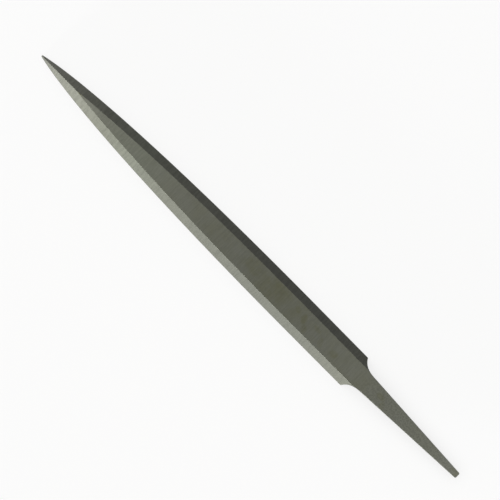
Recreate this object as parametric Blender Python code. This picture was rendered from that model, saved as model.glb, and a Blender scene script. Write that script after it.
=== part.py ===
# Barrette file, 200 mm (8 in): one bar of tool steel, forged, ground and toothed.
# It lies on its wide, double-cut face. The narrow back looks up, with a smooth bevel on
# each side of it, and the bare tang runs on from the back. X is the length, tip at -X.
# Metres, +Z up, origin under the middle of the length, level with the tooth tips.

import bpy
import bmesh
from math import ceil, cos, radians, sin, tan
from mathutils import Vector

# Blade in plan
blade_length = 0.2000       # tip to the heel corners
blade_width = 0.0177        # widest, where the tapered sides run out
heel_width = 0.0175         # across the heel corners
taper_length = 0.1600       # tip to the widest place
tip_width = 0.0007          # the point is ground blunt
tip_half_angle = radians(14.6)
nose_share = 0.0425         # of the taper, in which a side holds its first direction
belly_share = 0.744         # of the taper, in which it comes round to its last direction

# Blade section
blade_thickness = 0.0052
bevel_width = 0.0038        # each bevel, seen from above
edge_land = 0.0003          # flat left on the thin edges

# Shoulders and tang
tang_length = 0.0660
tang_root_width = 0.00986   # where its sides, drawn on, meet the heel line
tang_end_width = 0.0029
tang_end_thickness = 0.0024
tang_corner_radius = 0.0006
shoulder_length = 0.0106    # heel line to where the hollow meets the tang's side
shoulder_angle = radians(30.0)   # off square, where the hollow leaves the heel corner
fall_share = 0.99           # of the drop, in which the hollow holds its first direction
run_share = 0.37            # of its length, in which it comes round to the tang's side
draw_delay = 0.0015         # the tang starts to thin this far behind the hollows

# Teeth, double cut, drawn coarser than a real file's
up_pitch = 0.0014
up_depth = 0.00038
up_angle = radians(65.0)    # grooves against the length
up_rake = radians(12.0)     # cutting faces, off square
over_pitch = 0.0018
over_depth = 0.00031
over_angle = radians(50.0)
over_flank = radians(35.0)  # flanks of the V against the face
heel_band = 0.0065          # bare strip before the heel line, on the centreline
heel_relief = 0.0001        # the bare strip stands this far back from the tooth tips

overrun = 0.0020            # how far the blank and every cutter reach past the part

side_steps = 22             # facets along each tapered side
shoulder_steps = 12
corner_steps = 3

end_x = (blade_length + tang_length) / 2
tip_x = -end_x
heel_x = tip_x + blade_length
foot_x = heel_x + shoulder_length
widest_x = tip_x + taper_length
far_x = end_x + 2 * overrun
blank_z = -overrun
under_z = blank_z - overrun
bevel_slope = (blade_thickness - edge_land) / bevel_width
tang_slope = (tang_root_width - tang_end_width) / 2 / tang_length
tooth_end = Vector((heel_x - heel_band, 0, 0))
up_line = Vector((cos(up_angle), sin(up_angle), 0))
over_line = Vector((cos(over_angle), -sin(over_angle), 0))


def bezier(start, leaving, arriving, end, share):
    back = 1 - share
    return (start * back ** 3 + leaving * (3 * back ** 2 * share)
            + arriving * (3 * back * share ** 2) + end * share ** 3)


def side_point(share):
    """Point of the blade's tapered side, from the tip (0) to the widest place (1)."""
    start = Vector((tip_x, tip_width / 2))
    end = Vector((widest_x, blade_width / 2))
    heading = Vector((cos(tip_half_angle), sin(tip_half_angle)))
    leaving = start + heading * taper_length * nose_share
    arriving = end - Vector((taper_length * belly_share, 0))
    return bezier(start, leaving, arriving, end, share)


def fork_share():
    """Where on the side the two bevels stop meeting in one ridge and the back begins."""
    low, high = 0.0, 1.0
    for _ in range(40):
        middle = (low + high) / 2
        if side_point(middle).y < bevel_width:
            low = middle
        else:
            high = middle
    return high


def blade_stations():
    """Points of the blade's side, tip first, with one exactly at the fork."""
    fork = fork_share()
    spacing = 1 / side_steps
    shares = [step * spacing for step in range(side_steps + 1)]
    shares = [share for share in shares if abs(share - fork) > spacing / 2] + [fork]
    points = [side_point(share) for share in sorted(shares)]
    return points + [Vector((heel_x, heel_width / 2)), Vector((far_x, heel_width / 2))]


def tang_half_width(x):
    return tang_root_width / 2 - tang_slope * (x - heel_x)


def shoulder_side():
    """Plan of one shoulder and one side of the tang, from outside the heel corner."""
    corner = Vector((heel_x, heel_width / 2))
    falling = Vector((sin(shoulder_angle), -cos(shoulder_angle)))
    foot = Vector((foot_x, tang_half_width(foot_x)))
    along = Vector((1, -tang_slope)).normalized()
    leaving = corner + falling * (corner.y - foot.y) / cos(shoulder_angle) * fall_share
    arriving = foot - along * shoulder_length * run_share
    points = [corner - falling * 2 * overrun]
    for step in range(shoulder_steps + 1):
        points.append(bezier(corner, leaving, arriving, foot, step / shoulder_steps))
    centre = Vector((end_x - tang_corner_radius,
                     tang_half_width(end_x) - tang_corner_radius))
    for step in range(corner_steps + 1):
        turn = radians(90) * (1 - step / corner_steps)
        points.append(centre + tang_corner_radius * Vector((cos(turn), sin(turn))))
    return points


def new_object(name, bm):
    bmesh.ops.recalc_face_normals(bm, faces=bm.faces)
    mesh = bpy.data.meshes.new(name)
    bm.to_mesh(mesh)
    bm.free()
    made = bpy.data.objects.new(name, mesh)
    bpy.context.scene.collection.objects.link(made)
    return made


def prism(outline, travel):
    """Closed solid of a flat outline pushed along travel, as a bmesh."""
    bm = bmesh.new()
    base = bm.faces.new([bm.verts.new(point) for point in outline])
    grown = bmesh.ops.extrude_face_region(bm, geom=[base])
    moved = [item for item in grown["geom"] if isinstance(item, bmesh.types.BMVert)]
    bmesh.ops.translate(bm, verts=moved, vec=travel)
    return bm


def cut(body, name, bm):
    """Take the solid in bm out of the body, with a live Boolean."""
    cutter = new_object(name, bm)
    cutter.display_type = "WIRE"
    cutter.hide_render = True
    step = body.modifiers.new(name, "BOOLEAN")
    step.operation = "DIFFERENCE"
    step.solver = "EXACT"
    step.object = cutter


def ground_blank():
    """The bar with its two bevels, from the tip and straight on past the tang."""
    bm = bmesh.new()
    rows = {"low": [], "land": [], "ridge": []}
    for point in blade_stations():
        across = min(point.y, bevel_width)
        top = edge_land + across * bevel_slope
        half_back = point.y - across
        for row, y, z in (("low", point.y, blank_z), ("land", point.y, edge_land),
                          ("ridge", half_back, top)):
            left = bm.verts.new((point.x, y, z))
            right = bm.verts.new((point.x, -y, z)) if y > 0 else left
            rows[row].append((left, right))
    for lower, upper in (("low", "land"), ("land", "ridge")):
        for side in (0, 1):
            edge, inner = [[pair[side] for pair in rows[row]] for row in (lower, upper)]
            for index in range(len(edge) - 1):
                bm.faces.new((edge[index], edge[index + 1],
                              inner[index + 1], inner[index]))
    back = [pair for pair in rows["ridge"] if pair[0] is not pair[1]]
    fork = rows["ridge"][len(rows["ridge"]) - len(back) - 1][0]
    bm.faces.new([fork] + [pair[0] for pair in back] + [pair[1] for pair in reversed(back)])
    low = rows["low"]
    bm.faces.new([pair[0] for pair in low] + [pair[1] for pair in reversed(low)])
    for end in (0, -1):
        around = [rows[row][end][0] for row in ("low", "land", "ridge")]
        around += [rows[row][end][1] for row in ("ridge", "land", "low")]
        bm.faces.new(list(dict.fromkeys(around)))
    return new_object("barrette_file", bm)


def tang_die():
    """Block with a slot: all that lies outside the shoulders and the tang in plan."""
    side = shoulder_side()
    outer_y = side[0].y + overrun
    plan = [(point.x, point.y) for point in side]
    plan += [(point.x, -point.y) for point in reversed(side)]
    plan += [(side[0].x, -outer_y), (far_x + overrun, -outer_y),
             (far_x + overrun, outer_y), (side[0].x, outer_y)]
    height = blade_thickness + overrun - under_z
    return prism([(x, y, under_z) for x, y in plan], Vector((0, 0, height)))


def heel_face():
    """Clears the underside behind the teeth, along the slant of the last groove."""
    start = tooth_end - Vector((up_pitch / 2 / sin(up_angle), 0, 0))
    slant = up_line * (blade_width / sin(up_angle))
    plan = [start + slant, start - slant, Vector((far_x + overrun, -blade_width, 0)),
            Vector((far_x + overrun, blade_width, 0))]
    floor = Vector((0, 0, under_z))
    return prism([point + floor for point in plan], Vector((0, 0, heel_relief - under_z)))


def tang_draw(level, outward):
    """Thins the tang from one face, level at its start, towards the middle plane."""
    start_x = foot_x + draw_delay
    fall = (blade_thickness - heel_relief - tang_end_thickness) / 2 / (end_x - start_x)
    near_x = start_x - overrun
    profile = [(x, level - outward * (x - start_x) * fall)
               for x in (near_x, far_x + overrun)]
    outer_z = level + outward * overrun
    profile += [(far_x + overrun, outer_z), (near_x, outer_z)]
    return prism([(x, -blade_width, z) for x, z in profile], Vector((0, 2 * blade_width, 0)))


def groove_row(line, profile):
    """Parallel grooves across the blade: a profile in (x, z) pushed along their line."""
    reach = line * (blade_width / abs(line.y))
    outline = [tooth_end + Vector((x, 0, z)) - reach for x, z in profile]
    return prism(outline, 2 * reach)


def up_cut():
    """Saw-toothed grooves, their steep sides the cutting faces that look to the tip."""
    step = up_pitch / sin(up_angle)
    face = up_depth * tan(up_rake) / sin(up_angle)
    profile = [(0, under_z), (0, 0)]
    for index in range(int((tooth_end.x - tip_x) / step) + 3):
        profile += [(-index * step - face, up_depth), (-(index + 1) * step, 0)]
    profile.append((profile[-1][0], under_z))
    return groove_row(up_line, profile)


def over_cut():
    """Shallower V grooves the other way, which part the ridges into single teeth."""
    step = over_pitch / sin(over_angle)
    low_z = -over_depth / 4
    flank = (over_depth - low_z) / tan(over_flank) / sin(over_angle)
    corner_x = blade_width / 2 * (1 / tan(over_angle) + 1 / tan(up_angle))
    profile = []
    for index in range(-ceil(corner_x / step), int((tooth_end.x - tip_x) / step) + 3):
        x = -index * step
        profile += [(x + flank, low_z), (x, over_depth), (x - flank, low_z)]
    profile += [(profile[-1][0], under_z), (profile[0][0], under_z)]
    bm = groove_row(over_line, profile)
    stop = tooth_end - Vector((up_pitch / 3 / sin(up_angle), 0, 0))
    everything = bm.verts[:] + bm.edges[:] + bm.faces[:]
    bmesh.ops.bisect_plane(bm, geom=everything, plane_co=stop, clear_outer=True,
                           plane_no=Vector((up_line.y, -up_line.x, 0)))
    bmesh.ops.holes_fill(bm, edges=[edge for edge in bm.edges if edge.is_boundary])
    return bm


def ground_steel(name, colour, roughness):
    material = bpy.data.materials.new(name)
    material.use_nodes = True
    shader = material.node_tree.nodes["Principled BSDF"]
    shader.inputs["Base Color"].default_value = (*colour, 1)
    shader.inputs["Roughness"].default_value = roughness
    shader.inputs["Metallic"].default_value = 1
    material.diffuse_color = (*colour, 1)
    return material


def build():
    for old in list(bpy.data.objects):
        bpy.data.objects.remove(old, do_unlink=True)
    body = ground_blank()
    body.data.materials.append(ground_steel("ground_tool_steel", (0.15, 0.15, 0.13), 0.48))
    cut(body, "tang_die", tang_die())
    cut(body, "heel_face", heel_face())
    cut(body, "tang_top_draw", tang_draw(blade_thickness, 1))
    cut(body, "tang_under_draw", tang_draw(heel_relief, -1))
    cut(body, "up_cut", up_cut())
    cut(body, "over_cut", over_cut())


build()
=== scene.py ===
from math import atan, ceil, cos, hypot, radians, sin, tan

import bmesh
import bpy
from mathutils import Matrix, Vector


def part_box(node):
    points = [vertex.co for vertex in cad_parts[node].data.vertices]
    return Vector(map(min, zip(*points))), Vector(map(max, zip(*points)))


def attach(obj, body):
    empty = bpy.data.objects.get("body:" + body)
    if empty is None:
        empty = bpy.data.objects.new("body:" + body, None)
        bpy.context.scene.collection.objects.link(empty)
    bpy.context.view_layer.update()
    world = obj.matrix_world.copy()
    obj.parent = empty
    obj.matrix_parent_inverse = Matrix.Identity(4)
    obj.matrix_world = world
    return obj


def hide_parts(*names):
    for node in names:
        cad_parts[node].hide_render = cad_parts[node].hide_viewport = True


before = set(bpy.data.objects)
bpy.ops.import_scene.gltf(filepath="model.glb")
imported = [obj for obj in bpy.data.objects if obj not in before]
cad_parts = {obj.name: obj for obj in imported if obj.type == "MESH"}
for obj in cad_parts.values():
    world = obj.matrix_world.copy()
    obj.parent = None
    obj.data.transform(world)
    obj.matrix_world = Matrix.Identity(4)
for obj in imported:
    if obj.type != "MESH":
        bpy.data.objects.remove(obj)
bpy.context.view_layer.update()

# A barrette file lying on its cut face, seen from straight above.
# X runs from the point to the tang, Y across, Z up out of the smooth back. Metres throughout.

mm = 0.001
fileLow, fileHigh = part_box("barrette_file")
tipX, endX = fileLow.x, fileHigh.x
halfWidth, thickness = fileHigh.y, fileHigh.z
tiny = 0.002 * mm        # nearer than this is the same place
halvings = 40            # of a side's length, when one of its points is looked for


# Selecting and shaping in edit mode

def selectOnly(thing):
    bpy.ops.object.select_all(action="DESELECT")
    thing.select_set(True)
    bpy.context.view_layer.objects.active = thing


def startBar(name, low, high):
    # a cube stretched between two corners, its place and size applied
    bpy.ops.object.select_all(action="DESELECT")
    low, high = Vector(low), Vector(high)
    bpy.ops.mesh.primitive_cube_add(size=1, location=(low + high) / 2)
    made = bpy.context.object
    made.name = name
    made.scale = high - low
    bpy.ops.object.transform_apply(location=True, rotation=True, scale=True)
    return made


def pick(kind, test):
    # selects the vertices, edges or faces that pass the test
    bpy.ops.mesh.select_mode(type=kind)
    bpy.ops.mesh.select_all(action="DESELECT")
    shape = bmesh.from_edit_mesh(bpy.context.object.data)
    for part in {"VERT": shape.verts, "EDGE": shape.edges, "FACE": shape.faces}[kind]:
        part.select_set(test(part))
    shape.select_flush_mode()
    bmesh.update_edit_mesh(bpy.context.object.data)


def sliceAt(place, normal):
    bpy.ops.mesh.select_all(action="SELECT")
    bpy.ops.mesh.bisect(plane_co=place, plane_no=normal)


def shift(x=0, y=0, z=0):
    bpy.ops.transform.translate(value=(x, y, z))


def mergeDoubles():
    bpy.ops.mesh.select_all(action="SELECT")
    bpy.ops.mesh.remove_doubles(threshold=tiny)


def addModifier(body, kind, **settings):
    selectOnly(body)
    bpy.ops.object.modifier_add(type=kind)
    step = body.modifiers[-1]
    for name, value in settings.items():
        setattr(step, name, value)
    bpy.ops.object.modifier_apply(modifier=step.name)


def takeAway(body, cutter):
    # both are closed, so the quick solver does
    addModifier(body, "BOOLEAN", operation="DIFFERENCE", solver="MANIFOLD", object=cutter)
    bpy.data.objects.remove(cutter, do_unlink=True)


# The bar: outline in plan and section, ground before the teeth are cut

blade = {
    "length": 200 * mm,             # point to the heel corners
    "taper": 160 * mm,              # point to the widest place
    "heelHalf": 8.75 * mm,
    "tipHalf": 0.35 * mm,           # ground blunt
    "tipAngle": radians(14.6),
    "noseShare": 0.0425,            # of the taper, in which a side holds its first direction
    "bellyShare": 0.744,            # of the taper, in which it comes round to its last
    "bevel": 3.8 * mm,              # each side bevel, seen from above
    "edgeLand": 0.3 * mm,           # flat left on the thin edges
    "lip": 0.5 * mm,                # the back rises this near its ridges
    "hollow": 0.02 * mm,            # by this much
    "steps": 64,                    # stations along the taper
    "heelShares": (0.2, 0.4, 0.6, 0.8),     # and past it, each of the way then left to the heel
}
tang = {
    "rootHalf": 4.93 * mm,          # where its side, drawn on, meets the heel line
    "endHalf": 1.45 * mm,
    "endThickness": 2.4 * mm,
    "shoulder": 10.6 * mm,          # heel line to where the shoulder's hollow ends
    "shoulderAngle": radians(30),   # off square, where the hollow leaves the heel corner
    "fallShare": 0.99,              # of its drop, in which the hollow holds that direction
    "runShare": 0.37,               # of its length, in which it comes round to the tang's side
    "steps": 24,                    # stations along the hollow
    "shares": (0.25, 0.5, 0.75, 0.9, 1),    # stations from the tang's foot to its end
    "thinDelay": 1.5 * mm,          # it starts to thin this far behind the hollows
    "corner": 0.6 * mm,             # round of its end corners
    "cornerSegments": 6,
}
heelX = tipX + blade["length"]
widestX = tipX + blade["taper"]
footX = heelX + tang["shoulder"]
thinX = footX + tang["thinDelay"]
bevelRise = (thickness - blade["edgeLand"]) / blade["bevel"]
backHalf = blade["heelHalf"] - blade["bevel"]
tangSlope = (tang["rootHalf"] - tang["endHalf"]) / (endX - heelX)
bareZ = 0.1 * mm         # the bare steel of the wide face lies this far behind the tooth tips
thinFall = (thickness - bareZ - tang["endThickness"]) / 2 / (endX - thinX)
beyond = 2 * mm          # cutters reach this far past the steel


def curvePoint(start, leaving, arriving, end, share):
    back = 1 - share
    return (start * back ** 3 + leaving * (3 * back ** 2 * share)
            + arriving * (3 * back * share ** 2) + end * share ** 3)


def bladeSide(share):
    start = Vector((tipX, blade["tipHalf"]))
    end = Vector((widestX, halfWidth))
    heading = Vector((cos(blade["tipAngle"]), sin(blade["tipAngle"])))
    leaving = start + heading * blade["taper"] * blade["noseShare"]
    arriving = end - Vector((blade["taper"] * blade["bellyShare"], 0))
    return curvePoint(start, leaving, arriving, end, share)


def shoulderSide(share):
    start = Vector((heelX, blade["heelHalf"]))
    end = Vector((footX, tang["rootHalf"] - tangSlope * tang["shoulder"]))
    falling = Vector((sin(tang["shoulderAngle"]), -cos(tang["shoulderAngle"])))
    along = Vector((1, -tangSlope)).normalized()
    drop = (start.y - end.y) / cos(tang["shoulderAngle"])
    leaving = start + falling * drop * tang["fallShare"]
    arriving = end - along * tang["shoulder"] * tang["runShare"]
    return curvePoint(start, leaving, arriving, end, share)


def shareAt(side, half):
    # where along a side its half width passes this value
    rising = side(1).y > side(0).y
    low, high = 0.0, 1.0
    for _ in range(halvings):
        middle = (low + high) / 2
        if (side(middle).y < half) == rising:
            low = middle
        else:
            high = middle
    return high


def sidePoints(side, steps, half):
    # even steps along a side, with one of them moved to the exact place of that half width
    exact = shareAt(side, half)
    shares = [step / steps for step in range(steps + 1)]
    shares = [share for share in shares if abs(share - exact) > 0.5 / steps or share in (0, 1)]
    return [side(share) for share in sorted(shares + [exact])]


def stations():
    points = sidePoints(bladeSide, blade["steps"], blade["bevel"])
    for share in blade["heelShares"]:
        points.append(points[-1].lerp(Vector((heelX, blade["heelHalf"])), share))
    points += sidePoints(shoulderSide, tang["steps"], backHalf)
    foot, end = points[-1], Vector((endX, tang["endHalf"]))
    return points + [foot.lerp(end, share) for share in tang["shares"]]


def shapeRow(x, row, half, z):
    # one row of the bar's corners at this station goes to its half width and height
    oldHalf, oldZ = row
    pick("VERT", lambda v: abs(v.co.x - x) < tiny and abs(v.co.z - oldZ) < tiny
         and abs(abs(v.co.y) - oldHalf) < tiny)
    if abs(half - oldHalf) > tiny:
        bpy.ops.transform.resize(value=(1, half / oldHalf, 1))
    if abs(z - oldZ) > tiny:
        shift(z=z - oldZ)


def groundBar():
    made = startBar("file_steel", (tipX, -halfWidth, 0), (endX, halfWidth, thickness))
    lipRow = halfWidth / 2
    bpy.ops.object.mode_set(mode="EDIT")
    sliceAt((0, 0, blade["edgeLand"]), (0, 0, 1))
    sliceAt((0, lipRow, 0), (0, 1, 0))
    sliceAt((0, -lipRow, 0), (0, 1, 0))
    for x in (tipX, endX):                      # each end is one face again
        pick("FACE", lambda f: abs(f.calc_center_median().x - x) < tiny)
        bpy.ops.mesh.dissolve_faces()
    points = stations()
    for point in points[1:-1]:
        sliceAt((point.x, 0, 0), (1, 0, 0))
    for point in points:
        onBlade = point.x < heelX + tiny
        stock = point.y if onBlade else blade["heelHalf"]       # half width before the shoulders
        inner = max(stock - blade["bevel"], 0)                  # and of the back
        ridge = min(inner, point.y)
        top = blade["edgeLand"] + bevelRise * (stock - inner)
        land = top - bevelRise * max(point.y - inner, 0)
        fade = 1 if onBlade else max(1 - (point.x - heelX) / tang["shoulder"], 0)
        lip = min(blade["lip"], ridge)
        dip = blade["hollow"] * fade * lip / blade["lip"]
        shapeRow(point.x, (halfWidth, thickness), ridge, top)
        shapeRow(point.x, (lipRow, thickness), ridge - lip, top - dip)
        shapeRow(point.x, (halfWidth, blade["edgeLand"]), point.y, land)
        shapeRow(point.x, (lipRow, 0), point.y / 2, 0)
        shapeRow(point.x, (halfWidth, 0), point.y, 0)
    mergeDoubles()
    pick("EDGE", lambda e: all(abs(v.co.x - endX) < tiny and abs(abs(v.co.y) - tang["endHalf"]) < tiny
                               for v in e.verts))
    bpy.ops.mesh.bevel(offset=tang["corner"], segments=tang["cornerSegments"])
    bpy.ops.object.mode_set(mode="OBJECT")
    return made


# What is cut from the bar: the tang's two thinned faces, the bare heel strip and the teeth

teeth = {
    "bareStrip": 6.5 * mm,          # no teeth this far before the heel line
    "upPitch": 0.66 * mm,           # about 38 to the inch
    "upDepth": 0.24 * mm,
    "upAngle": radians(65),         # against the length
    "upRake": radians(12),          # the cutting faces lean by this
    "upLand": 0.03 * mm,            # flat left on the crests
    "overPitch": 0.82 * mm,
    "overDepth": 0.19 * mm,
    "overAngle": radians(50),       # the other way
    "overFlank": radians(35),
}
teethX = heelX - teeth["bareStrip"]
reach = halfWidth + beyond


def slantEnds(angle):
    # the +Y end of a straight bar slides along and its -Y end back, so that it lies on a slant
    slide = reach / tan(angle)
    pick("VERT", lambda v: v.co.y > 0)
    shift(x=slide)
    pick("VERT", lambda v: v.co.y < 0)
    shift(x=-slide)


def underCutter():
    # clears the wide face behind the teeth, then falls away under the tang
    made = startBar("under_cutter", (teethX, -reach, -beyond), (endX + beyond, reach, bareZ))
    bpy.ops.object.mode_set(mode="EDIT")
    sliceAt((thinX, 0, 0), (1, 0, 0))
    pick("VERT", lambda v: v.co.x > endX and v.co.z > 0)
    shift(z=thinFall * (endX + beyond - thinX))
    slide = reach / tan(teeth["upAngle"])       # its front lies on a slant, in the last groove
    pick("VERT", lambda v: v.co.x < thinX - tiny and v.co.y > 0)
    shift(x=slide - teeth["upPitch"] / 2)
    pick("VERT", lambda v: v.co.x < thinX - tiny and v.co.y < 0)
    shift(x=-slide - teeth["upPitch"] / 2)
    bpy.ops.object.mode_set(mode="OBJECT")
    return made


def topCutter():
    # thins the tang from its upper face
    made = startBar("top_cutter", (thinX - beyond, -reach, thickness),
                    (endX + beyond, reach, thickness + beyond))
    bpy.ops.object.mode_set(mode="EDIT")
    pick("VERT", lambda v: v.co.x > endX and v.co.z < thickness + tiny)
    shift(z=-thinFall * (endX + beyond - thinX))
    pick("VERT", lambda v: v.co.x < thinX and v.co.z < thickness + tiny)
    shift(z=thinFall * beyond)
    bpy.ops.object.mode_set(mode="OBJECT")
    return made


def startGroove(name, low, high, lean, angle):
    # a bar across the file, its top drawn together to a sharp ridge, then laid on a slant
    made = startBar(name, low, high)
    bpy.ops.object.mode_set(mode="EDIT")
    sliceAt((0, 0, 0), (0, 0, 1))
    pick("VERT", lambda v: v.co.z > tiny)
    bpy.ops.transform.resize(value=(0, 1, 1))
    shift(x=lean)
    slantEnds(angle)
    mergeDoubles()
    bpy.ops.object.mode_set(mode="OBJECT")
    return made


def repeatBack(made, step, count):
    # copies run from the heel towards the point
    addModifier(made, "ARRAY", use_relative_offset=False, use_constant_offset=True,
                constant_offset_displace=(-step, 0, 0), count=count)


def upCutter():
    # saw-toothed grooves, the steep side of each the cutting face that looks to the point
    step = teeth["upPitch"] / sin(teeth["upAngle"])
    width = step - teeth["upLand"]
    lean = teeth["upDepth"] * tan(teeth["upRake"]) / sin(teeth["upAngle"])
    made = startGroove("up_cutter", (teethX - width, -reach, -beyond),
                       (teethX, reach, teeth["upDepth"]), width / 2 - lean, teeth["upAngle"])
    repeatBack(made, step, ceil((teethX - tipX) / step) + 1)
    return made


def overCutter():
    # shallower V grooves the other way, which part the crests into single teeth
    step = teeth["overPitch"] / sin(teeth["overAngle"])
    half = teeth["overDepth"] / tan(teeth["overFlank"]) / sin(teeth["overAngle"])
    spare = ceil(reach * (1 / tan(teeth["overAngle"]) + 1 / tan(teeth["upAngle"])) / step)
    startX = teethX + spare * step
    made = startGroove("over_cutter", (startX - half, -reach, -beyond),
                       (startX + half, reach, teeth["overDepth"]), 0, -teeth["overAngle"])
    repeatBack(made, step, spare + ceil((teethX - tipX) / step) + 1)
    bpy.ops.object.mode_set(mode="EDIT")
    bpy.ops.mesh.select_all(action="SELECT")
    lastGroove = (teethX - teeth["upPitch"] / 3, 0, 0)          # they all end in it
    bpy.ops.mesh.bisect(plane_co=lastGroove, use_fill=True, clear_outer=True,
                        plane_no=(sin(teeth["upAngle"]), -cos(teeth["upAngle"]), 0))
    bpy.ops.object.mode_set(mode="OBJECT")
    return made


ease = {
    "ridge": 0.05 * mm,             # width of the round on the ground ridges
    "edge": 0.05 * mm,              # on the thin edges of the blade
    "tang": 0.30 * mm,              # along the tang, from its foot
    "end": 0.14 * mm,               # to its end
    "fadeShare": 0.2,               # of the way to where three surfaces meet
    "corner": radians(20),          # anything that turns more than this is a real corner
    "segments": 5,
    "smooth": radians(18.5),        # shaded smooth below this: the rounds are, the teeth aren't
}


def easeWidth(edge):
    if len(edge.link_faces) != 2 or edge.calc_face_angle() < ease["corner"]:
        return 0
    middle = (edge.verts[0].co + edge.verts[1].co) / 2
    onTip = all(abs(vert.co.x - tipX) < tiny for vert in edge.verts)
    if onTip or middle.z < bareZ + tiny and middle.x < heelX - tiny:
        return 0                    # the tip is ground square, and the teeth run out at the sides
    start = ease["edge"] if middle.z < blade["edgeLand"] + tiny else ease["ridge"]
    if middle.x > footX:
        return ease["tang"] + (ease["end"] - ease["tang"]) * (middle.x - footX) / (endX - footX)
    if middle.x > heelX:
        start += (ease["tang"] - start) * (middle.x - heelX) / tang["shoulder"]
    meeting = shoulderSide(shareAt(shoulderSide, backHalf))     # of ridge, bevel and hollow
    away = hypot(middle.x - meeting.x, abs(middle.y) - meeting.y)
    return start if middle.z < thickness / 2 else min(start, away * ease["fadeShare"])


def easeCorners(made):
    widest = max(ease["ridge"], ease["tang"])
    selectOnly(made)
    bpy.ops.object.mode_set(mode="EDIT")
    shape = bmesh.from_edit_mesh(made.data)
    weight = shape.edges.layers.float.new("bevel_weight_edge")
    for edge in shape.edges:
        edge[weight] = easeWidth(edge) / widest
    bmesh.update_edit_mesh(made.data)
    bpy.ops.object.mode_set(mode="OBJECT")
    addModifier(made, "BEVEL", limit_method="WEIGHT", width=widest, segments=ease["segments"],
                use_clamp_overlap=False)


bar = groundBar()
print("ground bar", len(bar.data.polygons), "faces")
takeAway(bar, underCutter())
takeAway(bar, topCutter())
print("tang thinned", len(bar.data.polygons), "faces")
easeCorners(bar)
print("corners eased", len(bar.data.polygons), "faces")
takeAway(bar, upCutter())
print("up cut", len(bar.data.polygons), "faces")
takeAway(bar, overCutter())
print("over cut", len(bar.data.polygons), "faces")

selectOnly(bar)
bpy.ops.object.mode_set(mode="EDIT")
mergeDoubles()
bpy.ops.object.mode_set(mode="OBJECT")
bpy.ops.object.shade_smooth_by_angle(angle=ease["smooth"])
addModifier(bar, "WEIGHTED_NORMAL", keep_sharp=True, weight=100)

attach(bar, "root")
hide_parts("barrette_file")


# Finishes

finish = {
    "tones": {                      # ground steel from the point (0) to the tang's end (1); brighter towards the point partly as painted light
        0: "#6e6f68", 0.05: "#6a6b63", 0.15: "#595a52", 0.24: "#55574f", 0.32: "#51524b",
        0.49: "#4c4d47", 0.66: "#4d4e48", 0.75: "#50514a", 0.86: "#52534c", 0.93: "#55564f",
        1: "#5c5d57",
    },
    "line": 0.9 * mm,               # grinding lines, drawn some four times as coarse to show
    "lineLength": 9 * mm,
    "lineDepth": 0.009 * mm,
    "lineRange": (0.3, 0.7),        # of the noise, from a shallow line to a deep one
    "lineShade": 0.26,              # a line is up to this much lighter or darker than the tone
    "bevelPaintedShade": "#efefef",        # painted shade: the bevels are a little darker than the back, so that the bevel turned from the key looks as dark as in shade
    "film": "#f2f1e2",              # thin oil film: it takes away more blue than red
    "filmFrom": 30 * mm,            # it starts this far behind the point, and is full at mid-length
    "filmOnTang": 0.35,             # and thinner there
    "cloud": 9 * mm,                # size of its cloudy patches
    "stain": "#d2ce88",             # what a stain leaves of the tone under it
    "blotch": 2.4 * mm,             # size of the thin places in a stain
    "pit": 0.8 * mm,                # fine pits on the tang, drawn three times as coarse to show
    "pitsFrom": 6 * mm,             # lines give way to them in this length before its foot
    # a rubbed edge's colour, lighter than the tone: partly real wear, partly a painted highlight
    "rubbedHighlit": "#6b6c64",
    "rubbedHighlitShare": 0.4,             # of that colour in the tone of a rubbed edge, partly wear and partly a painted highlight
    "crest": "#6e6f67",             # teeth, lightest at their tips
    "flank": "#55564f",
    "gullet": "#2c2d28",            # and darkest down between them
    "speck": 0.25 * mm,             # specks on the teeth
    "roughness": {                  # in shallow lines and in deep ones
        "ground": (0.46, 0.54),
        "stained": (0.45, 0.53),
        "rubbedHighlit": (0.44, 0.5),
        "cut": (0.38, 0.52),
    },
}
stains = (                          # x, y, half length, half width, turn, strength
    (15.5, 0.2, 11.0, 7.2, 4, 0.23),
    (3.0, 1.2, 9.0, 4.4, 0, 0.20),
    (-1.0, 2.4, 3.4, 2.2, 10, 0.16),
    (29.5, 1.7, 2.4, 1.4, -20, 0.34),
    (34.4, 0.6, 2.0, 3.2, 24, 0.40),
    (37.4, -3.0, 1.8, 2.6, 30, 0.24),
    (42.0, 1.6, 2.8, 1.4, -10, 0.22),
    (47.0, -1.8, 1.6, 3.0, 25, 0.20),
    (55.0, -1.2, 2.6, 2.2, 0, 0.26),
    (83.5, 0.4, 3.0, 2.0, 0, 0.30),
    (86.5, -2.0, 1.8, 2.4, 15, 0.24),
    (-110.0, 0.9, 5.5, 1.4, -4, 0.60),
    (131.5, 0.0, 4.2, 3.0, 0, 0.34),
)


def fromHex(code):
    # sRGB hex to the linear colour that a shader takes
    parts = [int(code[start:start + 2], 16) / 255 for start in (1, 3, 5)]
    return [part / 12.92 if part <= 0.04045 else ((part + 0.055) / 1.055) ** 2.4 for part in parts] + [1]


def addNode(material, kind, links=None, stops=None, **settings):
    # links: input name or number to a value or to another node's output.
    # A Mix node's inputs are 0 for the share, 2 and 3 for its numbers, 6 and 7 for its colours
    node = material.node_tree.nodes.new("ShaderNode" + kind)
    for name, value in settings.items():
        setattr(node, name, value)
    for name, value in (links or {}).items():
        if isinstance(value, bpy.types.NodeSocket):
            material.node_tree.links.new(value, node.inputs[name])
        else:
            node.inputs[name].default_value = value
    for place, code in (stops or {}).items():
        marks = node.color_ramp.elements
        mark = marks[0] if place == 0 else marks[-1] if place == 1 else marks.new(place)
        mark.color = fromHex(code)
    return node


def newMaterial(name, **values):
    material = bpy.data.materials.new(name)
    material.use_nodes = True
    shader = material.node_tree.nodes["Principled BSDF"]
    for socket, value in values.items():
        shader.inputs[socket.replace("_", " ")].default_value = value
    return material, shader


def linkTo(material, shader, **sources):
    for socket, source in sources.items():
        material.node_tree.links.new(source, shader.inputs[socket.replace("_", " ")])


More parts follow.
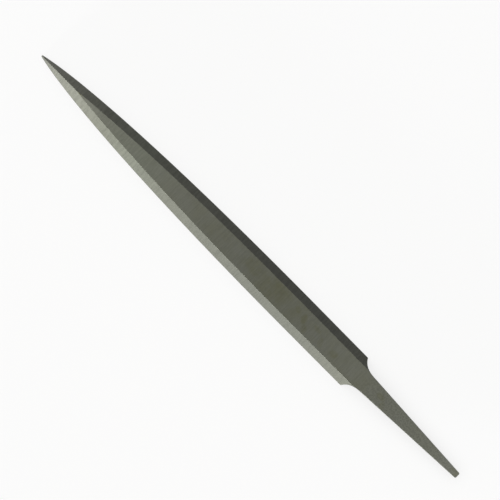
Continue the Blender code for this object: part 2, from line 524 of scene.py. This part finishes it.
def grindingLines(material, coords):
    # fine lines across the length, none of them quite as deep as the next
    perLength = [1 / finish["line"], 1 / finish["lineLength"], 1 / finish["lineLength"]]
    drawn = addNode(material, "Mapping", {"Vector": coords, "Scale": perLength})
    lines = addNode(material, "TexNoise", {"Vector": drawn.outputs["Vector"], "Scale": 1,
                                           "Detail": 5, "Roughness": 0.68})
    return lines.outputs["Fac"]


def toneAndPaintedLightAlong(material, coords):
    # darkest at mid-length, a little brighter towards the point and the tang's end: partly the steel's
    # own tone, partly painted light falling off from the point
    place = addNode(material, "SeparateXYZ", {"Vector": coords}).outputs["X"]
    along = addNode(material, "MapRange", {"Value": place, "From Min": tipX, "From Max": endX})
    return addNode(material, "ValToRGB", {"Fac": along.outputs["Result"]},
                   stops=finish["tones"]).outputs["Color"]


def linedTone(material, tone, lines):
    # each line a shade lighter or darker than the steel round it
    shallow, deep = finish["lineRange"]
    shade = addNode(material, "MapRange", {"Value": lines, "From Min": shallow, "From Max": deep,
                                           "To Min": 1 - finish["lineShade"],
                                           "To Max": 1 + finish["lineShade"]})
    return addNode(material, "Mix", {0: 1.0, 6: tone, 7: shade.outputs["Result"]},
                   data_type="RGBA", blend_type="MULTIPLY").outputs[2]


def finishSteel(material, shader, tone, lines, kind):
    # the lines also catch the light, and dull it more where they are deep
    shallow, deep = finish["lineRange"]
    smooth, rough = finish["roughness"][kind]
    dull = addNode(material, "MapRange", {"Value": lines, "From Min": shallow, "From Max": deep,
                                          "To Min": smooth, "To Max": rough})
    relief = addNode(material, "Bump", {"Height": lines, "Strength": 1.0,
                                        "Distance": finish["lineDepth"]})
    linkTo(material, shader, Base_Color=tone, Roughness=dull.outputs["Result"],
           Normal=relief.outputs["Normal"])
    return material


def satinGroundSteel():
    # the side bevels and the hollows: clean grey, with the wheel's lines plain to see
    material, shader = newMaterial("satin_ground_tool_steel", Metallic=1)
    coords = addNode(material, "TexCoord").outputs["Object"]
    lines = grindingLines(material, coords)
    # painted shade: this steel's tone is darkened by a grey, standing in for the shade on the bevel away
    # from the key
    tone = addNode(material, "Mix", {0: 1.0, 6: toneAndPaintedLightAlong(material, coords),
                                     7: fromHex(finish["bevelPaintedShade"])},
                   data_type="RGBA", blend_type="MULTIPLY").outputs[2]
    return finishSteel(material, shader, linedTone(material, tone, lines), lines, "ground")


def stainMask(material, coords):
    # soft oval spots, their edges broken up by a noise
    total = None
    for x, y, length, width, turn, strength in stains:
        spot = addNode(material, "Mapping", {"Vector": coords, "Location": (x * mm, y * mm, thickness),
                                             "Rotation": (0, 0, radians(turn)),
                                             "Scale": (length * mm, width * mm, thickness)},
                       vector_type="TEXTURE")
        fall = addNode(material, "TexGradient", {"Vector": spot.outputs["Vector"]},
                       gradient_type="SPHERICAL")       # full to half its radius, then less
        shade = addNode(material, "MapRange", {"Value": fall.outputs["Fac"], "From Max": 0.5,
                                               "To Max": strength}, interpolation_type="SMOOTHSTEP")
        total = shade.outputs["Result"] if total is None else addNode(
            material, "Math", {0: total, 1: shade.outputs["Result"]}, operation="MAXIMUM").outputs[0]
    breaks = addNode(material, "TexNoise", {"Vector": coords, "Scale": 1 / finish["blotch"],
                                            "Detail": 4, "Roughness": 0.65})
    patchy = addNode(material, "MapRange", {"Value": breaks.outputs["Fac"], "From Min": 0.35,
                                            "From Max": 0.6, "To Min": 0.35})    # a third is left
    return addNode(material, "Math", {0: total, 1: patchy.outputs["Result"]},
                   operation="MULTIPLY").outputs[0]


def stainedGroundSteel():
    # the back and the tang: the same steel under a cloudy film of oil, with olive stains.
    # The tang is greyer, with fine pits where the blade has its grinding lines
    material, shader = newMaterial("oil_stained_ground_tool_steel", Metallic=1)
    coords = addNode(material, "TexCoord").outputs["Object"]
    place = addNode(material, "SeparateXYZ", {"Vector": coords}).outputs["X"]
    onTang = addNode(material, "MapRange", {"Value": place, "From Min": footX - finish["pitsFrom"],
                                            "From Max": footX}).outputs["Result"]
    onBlade = addNode(material, "MapRange", {"Value": place, "From Min": tipX + finish["filmFrom"],
                                             "From Max": 0}).outputs["Result"]
    most = addNode(material, "MapRange", {"Value": onTang, "To Min": onBlade,
                                          "To Max": finish["filmOnTang"]})
    clouds = addNode(material, "TexNoise", {"Vector": coords, "Scale": 1 / finish["cloud"],
                                            "Detail": 4, "Roughness": 0.6})
    cover = addNode(material, "MapRange", {"Value": clouds.outputs["Fac"], "From Min": 0.25,
                                           "From Max": 0.75, "To Max": most.outputs["Result"]})
    filmed = addNode(material, "Mix", {0: cover.outputs["Result"], 6: toneAndPaintedLightAlong(material, coords),
                                       7: fromHex(finish["film"])},
                     data_type="RGBA", blend_type="MULTIPLY").outputs[2]
    stained = addNode(material, "Mix", {0: stainMask(material, coords), 6: filmed,
                                        7: fromHex(finish["stain"])},
                      data_type="RGBA", blend_type="MULTIPLY").outputs[2]
    pits = addNode(material, "TexNoise", {"Vector": coords, "Scale": 1 / finish["pit"],
                                          "Detail": 3, "Roughness": 0.7})
    sharp = addNode(material, "MapRange", {"Value": pits.outputs["Fac"], "From Min": 0.4,
                                           "From Max": 0.6, "To Min": 0.25, "To Max": 0.75})
    marks = addNode(material, "Mix", {0: onTang, 2: grindingLines(material, coords),
                                      3: sharp.outputs["Result"]}).outputs[0]
    tone = linedTone(material, stained, marks)
    return finishSteel(material, shader, tone, marks, "stained")


def rubbedHighlitSteel():
    # the eased ridges and edges, polished by hands and cloths, and painted lighter as a highlight along
    # them
    material, shader = newMaterial("rubbed_highlit_tool_steel_edge", Metallic=1)
    coords = addNode(material, "TexCoord").outputs["Object"]
    lines = grindingLines(material, coords)
    tone = linedTone(material, toneAndPaintedLightAlong(material, coords), lines)
    # painted highlight: the edge's tone is mixed partly towards a lighter colour
    wornAndHighlit = addNode(material, "Mix", {0: finish["rubbedHighlitShare"], 6: tone, 7: fromHex(finish["rubbedHighlit"])},
                   data_type="RGBA").outputs[2]
    return finishSteel(material, shader, wornAndHighlit, lines, "rubbedHighlit")


def cutSteel():
    # the teeth: lighter at their tips, darker with depth down to the gullets
    material, shader = newMaterial("double_cut_tool_steel", Metallic=1)
    coords = addNode(material, "TexCoord").outputs["Object"]
    height = addNode(material, "SeparateXYZ", {"Vector": coords}).outputs["Z"]
    depth = addNode(material, "MapRange", {"Value": height, "From Min": 0, "From Max": teeth["upDepth"]})
    tone = addNode(material, "ValToRGB", {"Fac": depth.outputs["Result"]},
                   stops={0: finish["crest"], 0.3: finish["flank"], 1: finish["gullet"]})
    specks = addNode(material, "TexNoise", {"Vector": coords, "Scale": 1 / finish["speck"],
                                            "Detail": 3, "Roughness": 0.6}).outputs["Fac"]
    specked = linedTone(material, tone.outputs["Color"], specks)
    return finishSteel(material, shader, specked, specks, "cut")


facing = {                          # how much of a face's normal points up or down
    "level": 0.995,                 # more than this on the back and on the tang's two faces
    "bevel": cos(atan(bevelRise)),
    "near": 0.03,                   # this near to it on the bevels, and to none on upright sides
}


def finishOf(face):
    # by where a face lies and how it is turned
    middle, up = face.center, abs(face.normal.z)
    behind = middle.x - middle.y / tan(teeth["upAngle"]) - teethX
    if face.normal.z < 0 and middle.z < teeth["upDepth"] and behind < -teeth["upPitch"] / 2:
        return "cut"
    if up > facing["level"]:
        return "stained"
    onBevel = middle.x < footX and abs(face.normal.z - facing["bevel"]) < facing["near"]
    return "ground" if onBevel or up < facing["near"] else "rubbedHighlit"


steels = {"ground": satinGroundSteel(), "stained": stainedGroundSteel(), "rubbedHighlit": rubbedHighlitSteel(),
          "cut": cutSteel()}
bar.data.materials.clear()
for steel in steels.values():
    bar.data.materials.append(steel)
for face in bar.data.polygons:
    face.material_index = list(steels).index(finishOf(face))
print("finishes made")


# Floor, lamps and camera

paper = {
    "size": 12,                     # metres, so that low views see its end far off
    "tones": {0: "#fafaf9", 1: "#fdfdfc"},
    "fibre": 0.8 * mm,              # its fibres, drawn much coarser to show at all
    "relief": 0.01 * mm,
    "whiten": 0.65,                 # share of plain white in what is seen of it
}
studio = {
    "sky": {                        # by the sine of its height
        0: "#f8f8f8", 0.05: "#f8f8f8", 0.08: "#989898",     # a pale rim behind the floor
        0.4: "#989898", 0.5: "#eaeaea", 0.85: "#eaeaea",    # soft light from halfway up
        0.95: "#aaaaaa", 1: "#aaaaaa",
    },
    "key": 2.98,
    "keyTurn": radians(271.8),      # from the lower left of the picture
    "keyTilt": radians(88),         # off the vertical, so low that it hardly glares on the back
    "keySpread": radians(4),
    "top": 0.83,
    "topSpread": radians(15),
}
view = {
    "distance": 3.0,                # a long lens: the back is hardly nearer than the floor
    "span": 225.2 * mm,             # what the picture takes in
    "turn": radians(45.31),         # the file lies at this angle across it
    "middle": (-4.9 * mm, 5.1 * mm),
}


def whitePaper():
    # a sheet without gloss, its fibres only just to be seen, white to the eye and in the steel
    material, shader = newMaterial("matt_white_paper", Roughness=0.9, Specular_IOR_Level=0.1)
    coords = addNode(material, "TexCoord").outputs["Object"]
    fibres = addNode(material, "TexNoise", {"Vector": coords, "Scale": 1 / paper["fibre"],
                                            "Detail": 4, "Roughness": 0.6}).outputs["Fac"]
    tone = addNode(material, "ValToRGB", {"Fac": fibres}, stops=paper["tones"])
    relief = addNode(material, "Bump", {"Height": fibres, "Strength": 1.0, "Distance": paper["relief"]})
    linkTo(material, shader, Base_Color=tone.outputs["Color"], Normal=relief.outputs["Normal"])
    rays = addNode(material, "LightPath").outputs
    seen = rays["Is Camera Ray"]
    for kind in ("Is Glossy Ray", "Is Transmission Ray"):
        seen = addNode(material, "Math", {0: seen, 1: rays[kind]}, operation="MAXIMUM").outputs[0]
    share = addNode(material, "Math", {0: seen, 1: paper["whiten"]}, operation="MULTIPLY")
    white = addNode(material, "Emission", {"Color": (1, 1, 1, 1), "Strength": 1})
    both = addNode(material, "MixShader", {0: share.outputs[0], 1: shader.outputs["BSDF"],
                                           2: white.outputs["Emission"]})
    linkTo(material, material.node_tree.nodes["Material Output"], Surface=both.outputs["Shader"])
    return material


def addSun(name, power, spread, tilt=0, turn=0):
    bpy.ops.object.light_add(type="SUN", location=(0, 0, 1), rotation=(0, tilt, turn))
    lamp = bpy.context.object
    lamp.name = name
    lamp.data.energy = power
    lamp.data.angle = spread


bpy.ops.mesh.primitive_plane_add(size=paper["size"])
floor = bpy.context.object
floor.name = "floor"
floor.data.materials.append(whitePaper())

world = bpy.data.worlds.new("studio")
world.use_nodes = True
upward = addNode(world, "TexCoord").outputs["Object"]
height = addNode(world, "SeparateXYZ", {"Vector": upward}).outputs["Z"]
sky = addNode(world, "ValToRGB", {"Fac": height}, stops=studio["sky"])
linkTo(world, world.node_tree.nodes["Background"], Color=sky.outputs["Color"])
bpy.context.scene.world = world

addSun("key", studio["key"], studio["keySpread"], studio["keyTilt"], studio["keyTurn"])
addSun("top", studio["top"], studio["topSpread"])

bpy.ops.object.camera_add(location=(*view["middle"], view["distance"]), rotation=(0, 0, view["turn"]))
camera = bpy.context.object
camera.data.lens = camera.data.sensor_width * view["distance"] / view["span"]
bpy.context.scene.camera = camera
bpy.context.scene.view_settings.view_transform = "Standard"
print("floor, lamps and camera set")
